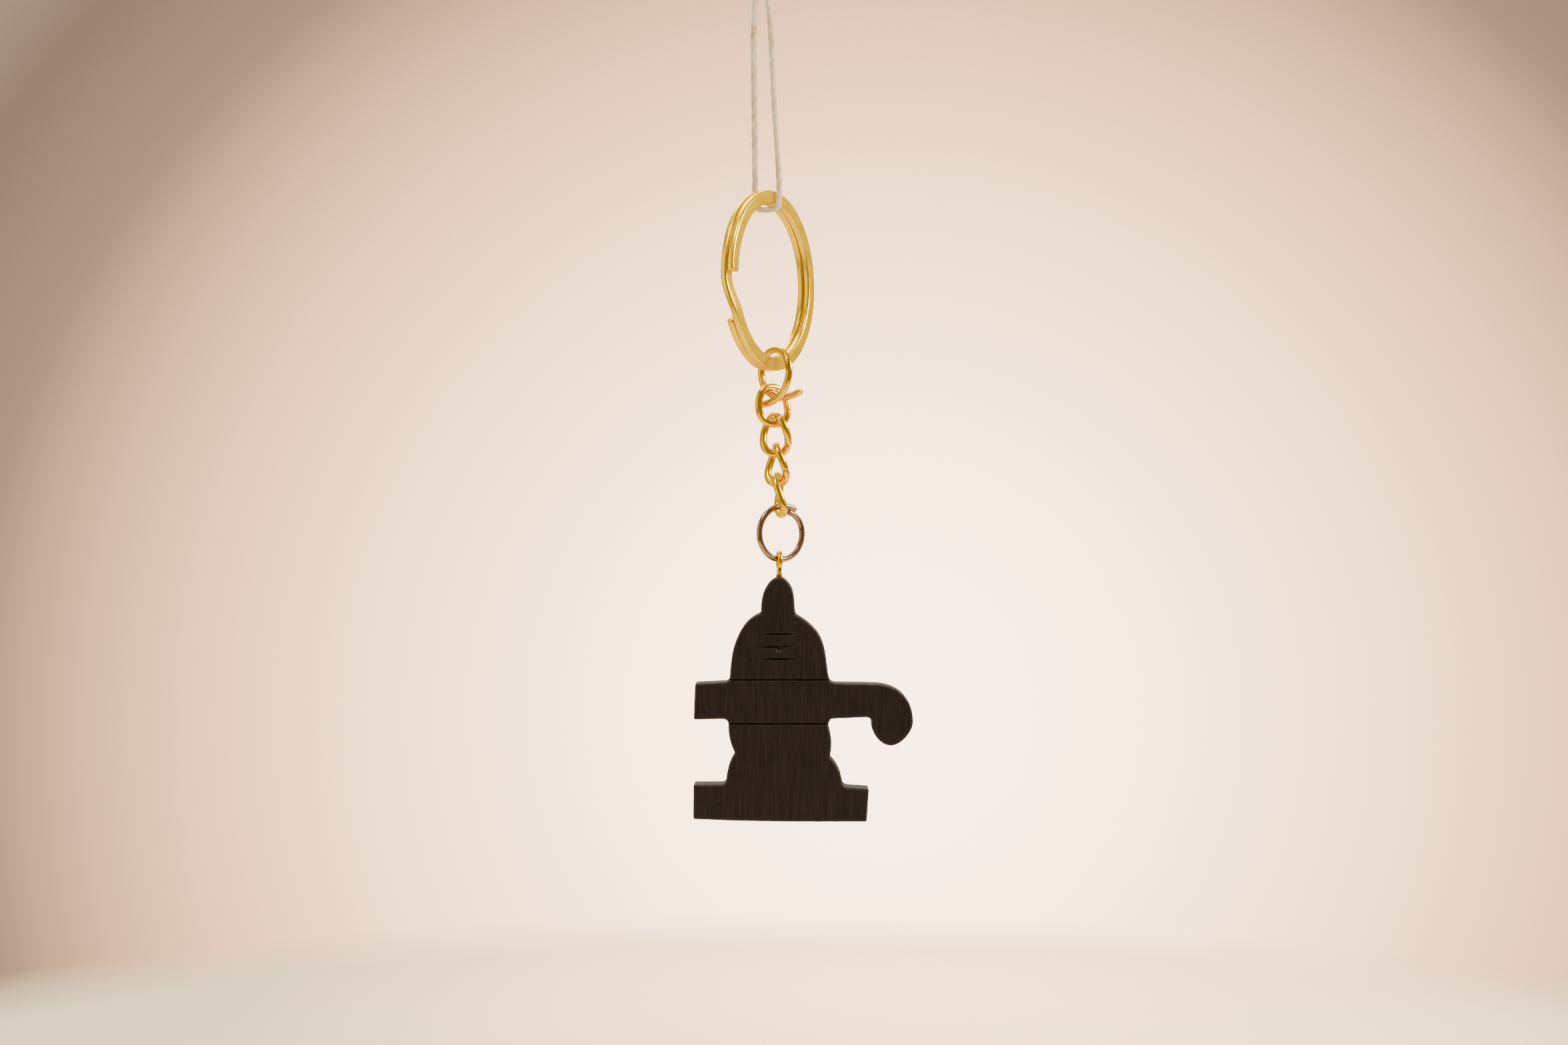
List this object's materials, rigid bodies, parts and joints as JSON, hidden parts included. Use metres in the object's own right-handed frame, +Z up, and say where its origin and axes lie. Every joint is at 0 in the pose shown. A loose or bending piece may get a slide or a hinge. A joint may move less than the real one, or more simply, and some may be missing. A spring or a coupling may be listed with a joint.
{
  "type": "keychain",
  "caption": "Keychain with a flat split ring, open connector ring, twisted curb chain, jump ring and screw eye holding a carved flat dark wood pendant; hangs from a thread loop.",
  "frame": {"origin": "inner top of the split ring, midway between its two coils, where the ring hangs from its thread or a hook", "axes": "+Z up along the hanging chain; -Y is the carved front of the pendant; +X points to the pendant's arm with the turned-down hook"},
  "size_m": [0.0343, 0.0257, 0.1391],
  "materials": {
    "gold_plate": "bright gold-toned plating, lightly worn",
    "dark_bronze": "dark copper-bronze, polished",
    "dark_wood": "satin dark hardwood with hand-carved lines",
    "cotton": "twisted cotton thread"
  },
  "bodies": {
    "split_ring": {"split_ring": "gold_plate", "hanging_thread": "cotton", "thread_knot": "cotton"},
    "connector_ring": {"connector_ring": "gold_plate"},
    "link_1": {"chain_link_1": "gold_plate"},
    "link_2": {"chain_link_2": "gold_plate"},
    "link_3": {"chain_link_3": "gold_plate"},
    "link_4": {"chain_link_4": "gold_plate"},
    "jump_ring": {"jump_ring": "dark_bronze"},
    "pendant": {"pendant": "dark_wood", "screw_eye": "gold_plate"}
  },
  "joints": [
    {"name": "connector_swing", "type": "hinge", "parent": "split_ring", "child": "connector_ring", "pos_m": [0.00077, 0.00151, -0.02485], "axis": [0.454, 0.891, 0], "range_deg": [-35, 35]},
    {"name": "link_1_swing", "type": "hinge", "parent": "connector_ring", "child": "link_1", "pos_m": [0.00025, 0.00321, -0.02941], "axis": [0.6559, -0.7549, 0], "range_deg": [-35, 5]},
    {"name": "link_2_swing", "type": "hinge", "parent": "link_1", "child": "link_2", "pos_m": [0.0008, 0.0024, -0.03409], "axis": [0.9903, 0.139, 0], "range_deg": [-35, 35]},
    {"name": "link_3_swing", "type": "hinge", "parent": "link_2", "child": "link_3", "pos_m": [0.00105, 0.0024, -0.0388], "axis": [0.9962, -0.087, 0], "range_deg": [-35, 35]},
    {"name": "link_4_swing", "type": "hinge", "parent": "link_3", "child": "link_4", "pos_m": [0.00125, 0.0024, -0.04352], "axis": [0.866, -0.5, 0], "range_deg": [-35, 35]},
    {"name": "jump_ring_swing", "type": "hinge", "parent": "link_4", "child": "jump_ring", "pos_m": [0.0019, 0.00175, -0.04829], "axis": [0.375, -0.927, 0], "range_deg": [-35, 35]},
    {"name": "pendant_swing", "type": "hinge", "parent": "jump_ring", "child": "pendant", "pos_m": [0.00156, 0.00156, -0.05536], "axis": [0.8089, 0.5879, 0], "range_deg": [-35, 35]}
  ]
}
